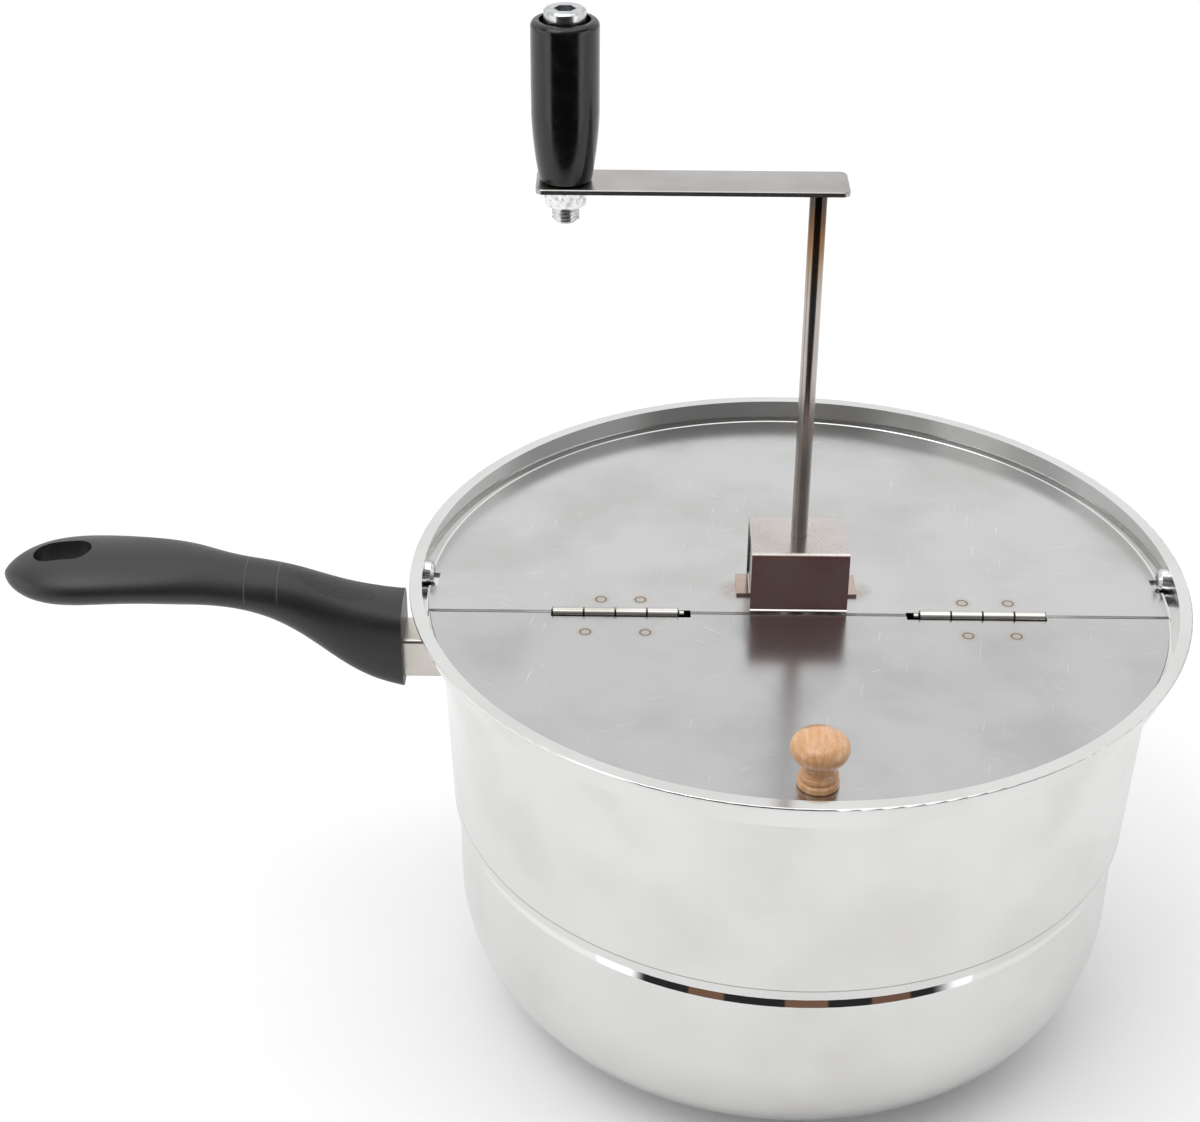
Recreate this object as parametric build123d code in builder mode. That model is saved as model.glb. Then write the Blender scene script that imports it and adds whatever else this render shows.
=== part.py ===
"""Stovetop popcorn popper: a deep pot with a long handle, a split lid and a hand crank.

Frame: +Z up, origin at the centre of the pot's flat base, handle along -X, flap towards -Y.
All sizes are in millimetres.
"""

from build123d import *
from math import asin, cos, degrees, pi, radians, sin, sqrt
import os

os.makedirs("parts", exist_ok=True)

# ---- Clearances ----
running_gap = 0.08  # radial, a turning shaft or pin in its hole
pivot_gap = 0.05  # radial, a hinge pin or the grip's bolt in its bore
end_gap = 0.3  # axial, between pieces that turn on each other
loose_gap = 0.4  # around a piece that only has to clear its neighbour
seat_gap = 0.05  # hair line between pieces that are stacked but not clamped

# ---- Pot ----
pot_height = 169.0  # floor to the top of the rim
pot_wall = 0.8
pot_radius = 119.0  # outside of the body below the polished step
step_height = 77.5  # floor to the foot of the polished step
step_rise = 5.0
step_width = 1.9
step_lean = 1.1  # the polished face leans in by this much, under the wall above it
step_lip = 0.6  # from the polished face's top up to the wall's lower edge
wall_flare = 3.1  # the wall leans out by this much from the step to the ledge
ledge_width = 6.4  # out to the upright lip
rim_width = 3.6
rim_thickness = 1.2
rim_round = 0.5
corner_radius = 47.0

# ---- Lid ----
lid_play = 1.6  # between the lid's edge and the lip
lid_thickness = 1.0
flap_radius_gap = 0.4  # the flap is this much smaller all round than the fixed lid
flap_seat_gap = 0.2  # under the closed flap
hinge_offset = 15.3  # the hinge line is this far in front of the pot's centre
lid_split = 0.6  # gap between the two sheets along the hinge line
notch_width = 8.4
notch_depth = 3.2

# ---- Lid screws, M4 ----
lid_screw_offset = 6.0  # behind the pot's centre line
lid_screw_radius = 2.0
lid_screw_head_radius = 3.8
lid_screw_head_height = 2.4
lid_screw_recess = 1.2
lid_washer_radius = 4.0
lid_washer_thickness = 0.8
lid_nut_flats = 7.0
lid_nut_height = 2.2
lid_screw_tail = 0.4  # past the nut
lid_screw_bevel = 1.0

# ---- Hinges ----
hinge_spacing = 125.4  # between the middles of the two hinges
hinge_length = 43.2
knuckle_count = 4
knuckle_gap = 0.2
knuckle_radius = 2.0
hinge_pin_radius = 1.0
hinge_pin_tail = 1.8  # the pin shows past the inner knuckle
leaf_thickness = 0.8
leaf_width = 15.0
leaf_corner = 2.0
rear_knuckles = (1, 3)  # counted from the inner end
front_knuckles = (0, 2)
slot_tail = 4.2  # the slot in the sheets is longer than the hinge at its inner end

# ---- Knob ----
knob_inset = 17.0  # from the lid's edge
knob_base_radius = 6.6
knob_base_height = 2.4
knob_neck_radius = 4.8
knob_bead_radius = 6.2
knob_bead_height = 5.0
knob_waist_height = 7.2
knob_cap_foot = -37.0  # degrees above the cap's widest level, where the flare ends
knob_cap_shoulder = 41.0
knob_cap_crown = 67.0
knob_cap_radius = 9.2
knob_cap_middle = 13.4
knob_height = 19.4
knob_edge = 0.4
knob_groove_radius = 5.4
knob_screw_radius = 2.0
knob_screw_depth = 11.0
knob_screw_head_radius = 4.0
knob_screw_head_height = 2.6
knob_screw_bevel = 1.0
knob_screw_cross = 1.6  # the recess is this many times the shank's radius long
knob_washer_radius = 5.0
knob_washer_thickness = 0.8

# ---- Shaft bracket ----
bracket_width = 33.2
bracket_depth = 27.0
bracket_height = 23.0
bracket_sheet = 1.0
bracket_bend = 1.6
bracket_leg_width = 13.0
bracket_leg_inset = 0.7  # the top overhangs the side legs
bracket_leg_shift = 3.5  # the side legs stand this far behind the middle
bracket_foot = 4.2

# ---- Crank ----
shaft_radius = 2.8
crank_height = 312.5  # floor to the top of the arm
arm_radius = 79.5  # shaft to grip
arm_width = 18.0
arm_thickness = 1.6
arm_end = 9.2  # from either centre to the end of the bar
arm_corner = 2.5
arm_edge = 0.25
collar_radius = 6.5
collar_height = 8.0
collar_edge = 0.5
set_screw_radius = 2.0
set_screw_hex = 2.0
set_screw_hex_depth = 1.6
set_screw_sink = 0.5  # below the outside of its ring

# ---- Stirrer ----
hub_radius = 7.0
hub_height = 18.0
hub_slot_floor = 4.2  # radius at which the blades' slots end
blade_thickness = 1.5
blade_height = 11.0
blade_floor_gap = 1.6  # above the pot's inside
blade_climb = 52.0  # degrees that the blade follows up the pot's corner
blade_tip_round = 4.0

# ---- Grip and its bolt, M8 ----
grip_length = 51.0
grip_foot_radius = 8.2
grip_taper_height = 22.0
grip_taper_share = 0.68  # of the widening is reached half way up the taper
grip_radius = 10.6
grip_top_round = 2.0
grip_foot_round = 0.6
grip_recess_radius = 8.0
grip_recess_depth = 5.0
bolt_radius = 4.0
bolt_head_radius = 6.5
bolt_head_height = 8.0
bolt_head_edge = 0.6
bolt_socket_flats = 6.0
bolt_socket_depth = 4.0
bolt_tail = 6.0  # past the nut
bolt_tail_chamfer = 0.9
nut_flats = 13.0
nut_height = 6.0
nut_chamfer = 0.9
nut_turn = 30.0

# ---- Handle ----
handle_gap = 13.0  # pot's widest wall to the socket end of the handle
handle_length = 138.2
handle_bracket_drop = 32.4  # rim to the middle of the handle bracket
handle_bracket_width = 16.0
handle_bracket_height = 15.6
handle_bracket_wall = 1.2
handle_bracket_bend = 1.5
handle_socket_depth = 9.0
tang_width = 10.0
tang_thickness = 4.0
tang_length = 36.0
tang_rise = 21.0
socket_clearance = 0.1
hang_hole_length = 20.3
hang_hole_width = 12.4
hang_hole_from_tip = 20.9
hang_hole_round = 1.2
handle_screw_radius = 2.5
handle_screw_head_radius = 4.5
handle_screw_head_height = 2.6
handle_screw_recess = 1.4
handle_screw_bevel = 1.0
handle_screw_tail = 5.0  # past the middle of the tang
handle_screw_hole_radius = 5.0
handle_screw_share = 0.62  # how far along the tang
handle_screw_cover = 2.8  # moulding between the tang and the screw's head

# Stations of the handle: share of its length from the pot end, drop of the middle below the
# rim's top, half width, half height, squareness (2 is an ellipse, 4 a rounded box).
handle_stations = (
    (0.000, 28.2, 12.6, 15.9, 4.0),
    (0.060, 26.5, 12.4, 15.5, 3.6),
    (0.130, 23.0, 12.1, 14.4, 3.1),
    (0.205, 17.4, 11.6, 12.5, 2.6),
    (0.305, 10.3, 11.1, 10.0, 2.2),
    (0.405, 6.3, 11.8, 8.4, 2.0),
    (0.500, 3.6, 14.0, 8.5, 2.0),
    (0.620, 2.0, 16.8, 8.7, 2.0),
    (0.780, 1.9, 18.4, 8.8, 2.0),
    (0.895, 2.5, 16.0, 7.9, 2.0),
    (0.955, 2.8, 10.9, 5.5, 2.0),
    (0.988, 3.0, 5.2, 2.7, 2.0),
    (1.000, 3.1, 1.4, 0.8, 2.0),
)
station_points = 16

# ---- Heights and places that follow from the sizes above ----
step_top = step_height + step_rise
step_face_radius = pot_radius - step_lean
step_face_top = step_top - step_lip
step_radius = pot_radius + step_width
shoulder_radius = step_radius + wall_flare
mouth_radius = shoulder_radius + ledge_width
rim_radius = mouth_radius + rim_width
rim_under = pot_height - rim_thickness
lid_screw_height = rim_under - lid_nut_flats / 2 - seat_gap
ledge_height = lid_screw_height - lid_washer_radius - seat_gap
lid_top = ledge_height + lid_thickness
lip_inner_radius = mouth_radius - pot_wall
lid_radius = lip_inner_radius - lid_play
lid_screw_angle = degrees(asin(lid_screw_offset / lip_inner_radius))

flap_foot = ledge_height + flap_seat_gap
flap_top = flap_foot + lid_thickness
hinge_axis_height = ledge_height - leaf_thickness + knuckle_radius
knuckle_length = hinge_length / knuckle_count
slot_half_width = knuckle_radius + loose_gap
knob_washer_foot = flap_foot - knob_washer_thickness
knob_screw_foot = knob_washer_foot - knob_screw_head_height
knob_offset = lid_radius - knob_inset

bracket_top = lid_top + bracket_height
collar_foot = lid_top + end_gap
collar_screw_height = collar_foot + collar_height / 2
arm_under = crank_height - arm_thickness
grip_foot = crank_height + end_gap
grip_top = grip_foot + grip_length
bolt_head_foot = grip_top - grip_recess_depth + end_gap
nut_foot = arm_under - nut_height
bolt_foot = nut_foot - bolt_tail

blade_foot = pot_wall + blade_floor_gap
corner_middle = pot_radius - corner_radius
blade_corner_radius = corner_radius - blade_foot
hub_screw_height = blade_foot + (blade_height + hub_height) / 2

handle_start = shoulder_radius + handle_gap
handle_bracket_middle = pot_height - handle_bracket_drop
bracket_end = handle_start + handle_socket_depth
tang_top = handle_bracket_middle + tang_rise
handle_screw_x = bracket_end + handle_screw_share * tang_length
handle_screw_top = handle_bracket_middle + handle_screw_share * tang_rise
handle_screw_head_top = handle_screw_top - tang_thickness / 2 - handle_screw_cover


# ---- Pot ----
def pot_section(inset):
    """Half section of the pot's outer form, from the axis to the rim, drawn in by inset."""
    ledge = ledge_height - pot_wall + inset
    bowl = FilletPolyline(
        (0, inset),
        (pot_radius - inset, inset),
        (pot_radius - inset, step_height),
        radius=corner_radius - inset,
    )
    Polyline(
        bowl @ 1,
        (step_face_radius - inset, step_face_top + inset),
        (step_radius - inset, step_top + inset),
        (shoulder_radius - inset, ledge),
        (mouth_radius - inset, ledge),
        (mouth_radius - inset, pot_height),
        (0, pot_height),
        bowl @ 0,
    )


with BuildPart() as pot_envelope:
    with BuildSketch(Plane.XZ):
        with BuildLine():
            pot_section(0)
        make_face()
    revolve(axis=Axis.Z)


def radial_plane(side, distance, height):
    """Plane whose normal points out from the axis at one of the two lid screws.

    side is 1 for the right screw and -1 for the left one.
    """
    angle = radians(lid_screw_angle)
    outward = Vector(side * cos(angle), sin(angle), 0)
    return Plane(
        origin=outward * distance + Vector(0, 0, height),
        x_dir=(0, 0, 1),
        z_dir=outward,
    )


with BuildPart() as pot_body:
    add(pot_envelope)
    with BuildSketch(Plane.XZ):
        with BuildLine():
            pot_section(pot_wall)
        make_face()
    revolve(axis=Axis.Z, mode=Mode.SUBTRACT)
    with BuildSketch(Plane.XY.offset(rim_under)):
        Circle(rim_radius)
        Circle(lip_inner_radius, mode=Mode.SUBTRACT)
    extrude(amount=rim_thickness)
    rim_edges = pot_body.edges().filter_by(GeomType.CIRCLE)
    fillet(rim_edges.filter_by(lambda e: abs(e.radius - rim_radius) < rim_round), rim_round)
    for side in (1, -1):
        with BuildSketch(radial_plane(side, shoulder_radius, lid_screw_height)):
            Circle(lid_screw_radius + running_gap)
        extrude(amount=rim_radius - shoulder_radius, mode=Mode.SUBTRACT)
pot_body.part.label = "pot_body"
export_step(pot_body.part, "parts/pot_body.step")

# ---- Lid screws, washers and nuts ----
washer_face = sqrt(lip_inner_radius**2 - lid_washer_radius**2)
screw_seat = washer_face - lid_washer_thickness
nut_face = mouth_radius

with BuildPart() as lid_washers:
    for side in (1, -1):
        with BuildSketch(radial_plane(side, screw_seat, lid_screw_height)):
            Circle(lid_washer_radius)
            Circle(lid_screw_radius + running_gap, mode=Mode.SUBTRACT)
        extrude(amount=lid_washer_thickness)
lid_washers.part.label = "lid_washers"
export_step(lid_washers.part, "parts/lid_washers.step")

with BuildPart() as lid_nuts:
    for side in (1, -1):
        with BuildSketch(radial_plane(side, nut_face, lid_screw_height)):
            RegularPolygon(lid_nut_flats / 2, 6, major_radius=False, rotation=30)
            Circle(lid_screw_radius, mode=Mode.SUBTRACT)
        extrude(amount=lid_nut_height)
lid_nuts.part.label = "lid_nuts"
export_step(lid_nuts.part, "parts/lid_nuts.step")

with BuildPart() as lid_screws:
    shank_length = nut_face + lid_nut_height + lid_screw_tail - screw_seat
    for side in (1, -1):
        with BuildSketch(radial_plane(side, screw_seat, lid_screw_height)):
            Circle(lid_screw_radius)
        extrude(amount=shank_length)
        with BuildSketch(radial_plane(side, screw_seat, lid_screw_height)):
            Circle(lid_screw_head_radius)
        extrude(amount=-lid_screw_head_height)
        head_face = radial_plane(side, screw_seat - lid_screw_head_height, lid_screw_height)
        with BuildSketch(head_face):
            Rectangle(2 * lid_screw_radius, lid_screw_recess / 2)
            Rectangle(lid_screw_recess / 2, 2 * lid_screw_radius)
        extrude(amount=lid_screw_recess, mode=Mode.SUBTRACT)
    crown = lid_screws.edges().filter_by(GeomType.CIRCLE).filter_by(
        lambda e: abs(e.radius - lid_screw_head_radius) < seat_gap
        and abs(e.arc_center.X) < screw_seat - lid_screw_head_height / 2
    )
    chamfer(crown, lid_screw_bevel)
lid_screws.part.label = "lid_screws"
export_step(lid_screws.part, "parts/lid_screws.step")


# ---- Lid sheets ----
def hinge_slots():
    """Slots across the hinge line that the knuckles stand in, cut from the open sketch."""
    inner_end = (hinge_spacing - hinge_length) / 2 - slot_tail
    outer_end = (hinge_spacing + hinge_length) / 2 + loose_gap
    for side in (1, -1):
        with Locations((side * (inner_end + outer_end) / 2, -hinge_offset)):
            Rectangle(outer_end - inner_end, 2 * slot_half_width, mode=Mode.SUBTRACT)


with BuildPart() as rear_lid:
    with BuildSketch(Plane.XY.offset(ledge_height)):
        Circle(lid_radius)
        with Locations((0, -hinge_offset + lid_split / 2)):
            Rectangle(
                2 * lid_radius,
                lid_radius,
                align=(Align.CENTER, Align.MAX),
                mode=Mode.SUBTRACT,
            )
        hinge_slots()
        Circle(shaft_radius + running_gap, mode=Mode.SUBTRACT)
        for angle in (lid_screw_angle, 180 - lid_screw_angle):
            with PolarLocations(lid_radius, 1, start_angle=angle):
                Rectangle(2 * notch_depth, notch_width, mode=Mode.SUBTRACT)
    extrude(amount=lid_thickness)
rear_lid.part.label = "rear_lid"
export_step(rear_lid.part, "parts/rear_lid.step")

with BuildPart() as front_flap:
    with BuildSketch(Plane.XY.offset(flap_foot)):
        Circle(lid_radius - flap_radius_gap)
        with Locations((0, -hinge_offset - lid_split / 2)):
            Rectangle(
                2 * lid_radius,
                2 * lid_radius,
                align=(Align.CENTER, Align.MIN),
                mode=Mode.SUBTRACT,
            )
        hinge_slots()
        with Locations((0, -knob_offset)):
            Circle(knob_screw_radius + pivot_gap, mode=Mode.SUBTRACT)
    extrude(amount=lid_thickness)
front_flap.part.label = "front_flap"
export_step(front_flap.part, "parts/front_flap.step")


# ---- Hinges ----
def knuckle_middle(side, index):
    """Distance along X of one knuckle, counted from the inner end of the hinge."""
    return side * ((hinge_spacing - hinge_length) / 2 + (index + 0.5) * knuckle_length)


def hinge_leaf(side, facing, sheet_foot, own, bore):
    """Plate under a lid sheet, with its share of the rolled knuckles.

    side is 1 for the right hinge, facing is 1 for the fixed lid's leaf and -1 for the flap's.
    """
    with BuildPart() as piece:
        plate_foot = sheet_foot - leaf_thickness
        knuckle_width = knuckle_length - knuckle_gap
        with BuildSketch(Plane.XY.offset(plate_foot)) as plate:
            middle = -hinge_offset + facing * (slot_half_width + leaf_width) / 2
            with Locations((side * hinge_spacing / 2, middle)):
                Rectangle(hinge_length, leaf_width - slot_half_width)
            far_corners = plate.vertices().group_by(Axis.Y)[-1 if facing > 0 else 0]
            fillet(far_corners, leaf_corner)
            for index in own:
                tab = -hinge_offset + facing * (slot_half_width + leaf_corner) / 2
                with Locations((knuckle_middle(side, index), tab)):
                    Rectangle(knuckle_width, slot_half_width + leaf_corner)
        extrude(amount=leaf_thickness)
        for index in own:
            start = knuckle_middle(side, index) - knuckle_width / 2
            with BuildSketch(Plane.YZ.offset(start)):
                with Locations((-hinge_offset, hinge_axis_height)):
                    Circle(knuckle_radius)
            extrude(amount=knuckle_width)
            with BuildSketch(Plane.YZ.offset(start)):
                with Locations((-hinge_offset, hinge_axis_height)):
                    Circle(bore)
            extrude(amount=knuckle_width, mode=Mode.SUBTRACT)
    return piece.part


with BuildPart() as rear_leaf_left:
    add(hinge_leaf(-1, 1, ledge_height, rear_knuckles, hinge_pin_radius))
rear_leaf_left.part.label = "rear_leaf_left"
export_step(rear_leaf_left.part, "parts/rear_leaf_left.step")

with BuildPart() as rear_leaf_right:
    add(hinge_leaf(1, 1, ledge_height, rear_knuckles, hinge_pin_radius))
rear_leaf_right.part.label = "rear_leaf_right"
export_step(rear_leaf_right.part, "parts/rear_leaf_right.step")

with BuildPart() as front_leaf_left:
    add(hinge_leaf(-1, -1, flap_foot, front_knuckles, hinge_pin_radius + pivot_gap))
front_leaf_left.part.label = "front_leaf_left"
export_step(front_leaf_left.part, "parts/front_leaf_left.step")

with BuildPart() as front_leaf_right:
    add(hinge_leaf(1, -1, flap_foot, front_knuckles, hinge_pin_radius + pivot_gap))
front_leaf_right.part.label = "front_leaf_right"
export_step(front_leaf_right.part, "parts/front_leaf_right.step")

with BuildPart() as hinge_pins:
    pin_length = hinge_length + hinge_pin_tail
    inner_end = (hinge_spacing - hinge_length) / 2 - hinge_pin_tail
    for start in (inner_end, -inner_end - pin_length):
        with BuildSketch(Plane.YZ.offset(start)):
            with Locations((-hinge_offset, hinge_axis_height)):
                Circle(hinge_pin_radius)
        extrude(amount=pin_length)
hinge_pins.part.label = "hinge_pins"
export_step(hinge_pins.part, "parts/hinge_pins.step")

# ---- Knob ----
knob_plane = Plane(origin=(0, -knob_offset, flap_top), x_dir=(1, 0, 0), z_dir=(0, -1, 0))
knob_axis = Axis((0, -knob_offset, 0), (0, 0, 1))
cap_half_height = knob_height - knob_cap_middle

def cap_point(angle):
    """Point of the knob's oval cap, by its angle above the cap's widest level."""
    across = knob_cap_radius * cos(radians(angle))
    return (across, knob_cap_middle + cap_half_height * sin(radians(angle)))


with BuildPart() as knob:
    with BuildSketch(knob_plane):
        with BuildLine():
            foot = Polyline(
                (knob_screw_radius, 0),
                (knob_base_radius - knob_edge, 0),
                (knob_base_radius, knob_edge),
                (knob_base_radius, knob_base_height - knob_edge),
                (knob_base_radius - knob_edge, knob_base_height),
                (knob_groove_radius, knob_base_height + knob_edge),
            )
            bead = ThreePointArc(
                foot @ 1,
                (knob_bead_radius, (knob_base_height + knob_edge + knob_bead_height) / 2),
                (knob_groove_radius, knob_bead_height),
            )
            flare = ThreePointArc(
                bead @ 1, (knob_neck_radius, knob_waist_height), cap_point(knob_cap_foot)
            )
            side = ThreePointArc(flare @ 1, cap_point(0), cap_point(knob_cap_shoulder))
            cap = Spline(
                side @ 1,
                cap_point(knob_cap_crown),
                (0, knob_height),
                tangents=(side % 1, (-1, 0)),
            )
            Polyline(
                cap @ 1,
                (0, knob_screw_depth + loose_gap),
                (knob_screw_radius, knob_screw_depth + loose_gap),
                foot @ 0,
            )
        make_face()
    revolve(axis=knob_axis)
knob.part.label = "knob"
export_step(knob.part, "parts/knob.step")

with BuildPart() as knob_washer:
    with BuildSketch(Plane.XY.offset(knob_washer_foot)):
        with Locations((0, -knob_offset)):
            Circle(knob_washer_radius)
            Circle(knob_screw_radius + pivot_gap, mode=Mode.SUBTRACT)
    extrude(amount=knob_washer_thickness)
knob_washer.part.label = "knob_washer"
export_step(knob_washer.part, "parts/knob_washer.step")

with BuildPart() as knob_screw:
    with BuildSketch(Plane.XY.offset(knob_screw_foot)):
        with Locations((0, -knob_offset)):
            Circle(knob_screw_head_radius)
    extrude(amount=knob_screw_head_height)
    chamfer(knob_screw.edges().group_by(Axis.Z)[0], knob_screw_bevel)
    with BuildSketch(Plane.XY.offset(knob_screw_foot)):
        with Locations((0, -knob_offset)):
            Circle(knob_screw_radius)
    extrude(amount=flap_top + knob_screw_depth - knob_screw_foot)
    with BuildSketch(Plane.XY.offset(knob_screw_foot)):
        with Locations((0, -knob_offset)):
            Rectangle(knob_screw_cross * knob_screw_radius, lid_screw_recess / 2)
            Rectangle(lid_screw_recess / 2, knob_screw_cross * knob_screw_radius)
    extrude(amount=lid_screw_recess, mode=Mode.SUBTRACT)
knob_screw.part.label = "knob_screw"
export_step(knob_screw.part, "parts/knob_screw.step")

# ---- Shaft bracket ----
half_width = bracket_width / 2
half_depth = bracket_depth / 2
plate_foot = lid_top + end_gap
inner_top = bracket_top - bracket_sheet
inner_bend = bracket_bend - bracket_sheet
leg_side = half_width - bracket_leg_inset
foot_end = half_width + bracket_foot

with BuildPart() as shaft_bracket:
    # The strip that makes the front, the top and the back.
    with BuildSketch(Plane.YZ.offset(-half_width)):
        with BuildLine():
            outside = FilletPolyline(
                (-half_depth, bracket_top - 2 * bracket_bend),
                (-half_depth, bracket_top),
                (half_depth, bracket_top),
                (half_depth, bracket_top - 2 * bracket_bend),
                radius=bracket_bend,
            )
            inside = FilletPolyline(
                (-half_depth + bracket_sheet, bracket_top - 2 * bracket_bend),
                (-half_depth + bracket_sheet, inner_top),
                (half_depth - bracket_sheet, inner_top),
                (half_depth - bracket_sheet, bracket_top - 2 * bracket_bend),
                radius=inner_bend,
            )
            Line(outside @ 0, inside @ 0)
            Line(outside @ 1, inside @ 1)
        make_face()
    extrude(amount=bracket_width)
    for plate in (-half_depth, half_depth - bracket_sheet):
        with BuildSketch(Plane.XY.offset(plate_foot)):
            with Locations((0, plate)):
                Rectangle(bracket_width, bracket_sheet, align=(Align.CENTER, Align.MIN))
        extrude(amount=bracket_top - bracket_bend - plate_foot)
    # The side legs with their feet, folded from the same sheet.
    with BuildSketch(Plane.XZ.offset(-bracket_leg_shift - bracket_leg_width / 2)):
        with BuildLine():
            outside = FilletPolyline(
                (-foot_end, lid_top + bracket_sheet),
                (-leg_side, lid_top + bracket_sheet),
                (-leg_side, bracket_top),
                (leg_side, bracket_top),
                (leg_side, lid_top + bracket_sheet),
                (foot_end, lid_top + bracket_sheet),
                radius=[inner_bend, bracket_bend, bracket_bend, inner_bend],
            )
            inside = FilletPolyline(
                (-foot_end, lid_top),
                (-leg_side + bracket_sheet, lid_top),
                (-leg_side + bracket_sheet, inner_top),
                (leg_side - bracket_sheet, inner_top),
                (leg_side - bracket_sheet, lid_top),
                (foot_end, lid_top),
                radius=[bracket_bend, inner_bend, inner_bend, bracket_bend],
            )
            Line(outside @ 0, inside @ 0)
            Line(outside @ 1, inside @ 1)
        make_face()
    extrude(amount=bracket_leg_width)
    with BuildSketch(Plane.XY.offset(inner_top)):
        Circle(shaft_radius + running_gap)
    extrude(amount=bracket_sheet, mode=Mode.SUBTRACT)
shaft_bracket.part.label = "shaft_bracket"
export_step(shaft_bracket.part, "parts/shaft_bracket.step")

# ---- Crank ----
with BuildPart() as crank_shaft:
    with BuildSketch(Plane.XY.offset(blade_foot)):
        Circle(shaft_radius)
    extrude(amount=arm_under - blade_foot)
crank_shaft.part.label = "crank_shaft"
export_step(crank_shaft.part, "parts/crank_shaft.step")

with BuildPart() as crank_arm:
    with BuildSketch(Plane.XY.offset(arm_under)):
        with Locations((-arm_radius / 2, 0)):
            RectangleRounded(arm_radius + 2 * arm_end, arm_width, arm_corner)
        with Locations((-arm_radius, 0)):
            Circle(bolt_radius, mode=Mode.SUBTRACT)
    extrude(amount=arm_thickness)
    chamfer(crank_arm.faces().sort_by(Axis.Z)[-1].outer_wire().edges(), arm_edge)
crank_arm.part.label = "crank_arm"
export_step(crank_arm.part, "parts/crank_arm.step")


def ring(foot, radius, height, screw_height):
    """Ring on the shaft with a threaded hole for its set screw towards the back."""
    with BuildPart() as piece:
        with BuildSketch(Plane.XY.offset(foot)):
            Circle(radius)
            Circle(shaft_radius, mode=Mode.SUBTRACT)
        extrude(amount=height)
        with BuildSketch(Plane.XZ.offset(-radius)):
            with Locations((0, screw_height)):
                Circle(set_screw_radius)
        extrude(amount=radius - shaft_radius / 2, mode=Mode.SUBTRACT)
    return piece.part


def rim_edges(piece, radius):
    """Round edges of a piece that have the given radius and lie level."""
    rings = piece.edges().filter_by(GeomType.CIRCLE)
    return rings.filter_by(
        lambda edge: abs(edge.radius - radius) < seat_gap
        and abs((edge @ 0).Z - (edge @ 0.5).Z) < seat_gap
    )


def set_screw(radius, screw_height):
    """Headless screw from the ring's outside to the shaft, with a hexagon socket."""
    with BuildPart() as piece:
        with BuildSketch(Plane.XZ.offset(-radius)):
            with Locations((0, screw_height)):
                Circle(set_screw_radius)
        extrude(amount=radius - shaft_radius)
        with BuildSketch(Plane.XZ.offset(-radius)):
            with Locations((0, screw_height)):
                RegularPolygon(set_screw_hex / 2, 6, major_radius=False)
        extrude(amount=set_screw_hex_depth, mode=Mode.SUBTRACT)
    return piece.part


with BuildPart() as shaft_collar:
    add(ring(collar_foot, collar_radius, collar_height, collar_screw_height))
    chamfer(rim_edges(shaft_collar, collar_radius), collar_edge)
shaft_collar.part.label = "shaft_collar"
export_step(shaft_collar.part, "parts/shaft_collar.step")

with BuildPart() as collar_screw:
    add(set_screw(collar_radius - set_screw_sink, collar_screw_height))
collar_screw.part.label = "collar_screw"
export_step(collar_screw.part, "parts/collar_screw.step")

# ---- Grip, its bolt and nut ----
with BuildPart() as grip_bolt:
    with BuildSketch(Plane.XY.offset(bolt_foot)):
        with Locations((-arm_radius, 0)):
            Circle(bolt_radius)
    extrude(amount=bolt_head_foot - bolt_foot)
    chamfer(grip_bolt.edges().group_by(Axis.Z)[0], bolt_tail_chamfer)
    with BuildSketch(Plane.XY.offset(bolt_head_foot)):
        with Locations((-arm_radius, 0)):
            Circle(bolt_head_radius)
    extrude(amount=bolt_head_height)
    chamfer(grip_bolt.edges().group_by(Axis.Z)[-1], bolt_head_edge)
    with BuildSketch(Plane.XY.offset(bolt_head_foot + bolt_head_height)):
        with Locations((-arm_radius, 0)):
            RegularPolygon(bolt_socket_flats / 2, 6, major_radius=False)
    extrude(amount=-bolt_socket_depth, mode=Mode.SUBTRACT)
grip_bolt.part.label = "grip_bolt"
export_step(grip_bolt.part, "parts/grip_bolt.step")

with BuildPart() as grip_nut:
    with BuildSketch(Plane.XY.offset(nut_foot)):
        with Locations((-arm_radius, 0)):
            RegularPolygon(nut_flats / 2, 6, major_radius=False, rotation=nut_turn)
    extrude(amount=nut_height)
    # A cone at each end takes the hexagon's corners off.
    with BuildSketch(Plane.XZ):
        corner = nut_flats / sqrt(3)
        with BuildLine():
            Polyline(
                (-arm_radius, nut_foot),
                (-arm_radius + nut_flats / 2, nut_foot),
                (-arm_radius + corner, nut_foot + nut_chamfer),
                (-arm_radius + corner, arm_under - nut_chamfer),
                (-arm_radius + nut_flats / 2, arm_under),
                (-arm_radius, arm_under),
                close=True,
            )
        make_face()
    revolve(axis=Axis((-arm_radius, 0, 0), (0, 0, 1)), mode=Mode.INTERSECT)
    with BuildSketch(Plane.XY.offset(nut_foot)):
        with Locations((-arm_radius, 0)):
            Circle(bolt_radius)
    extrude(amount=nut_height, mode=Mode.SUBTRACT)
grip_nut.part.label = "grip_nut"
export_step(grip_nut.part, "parts/grip_nut.step")

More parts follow.
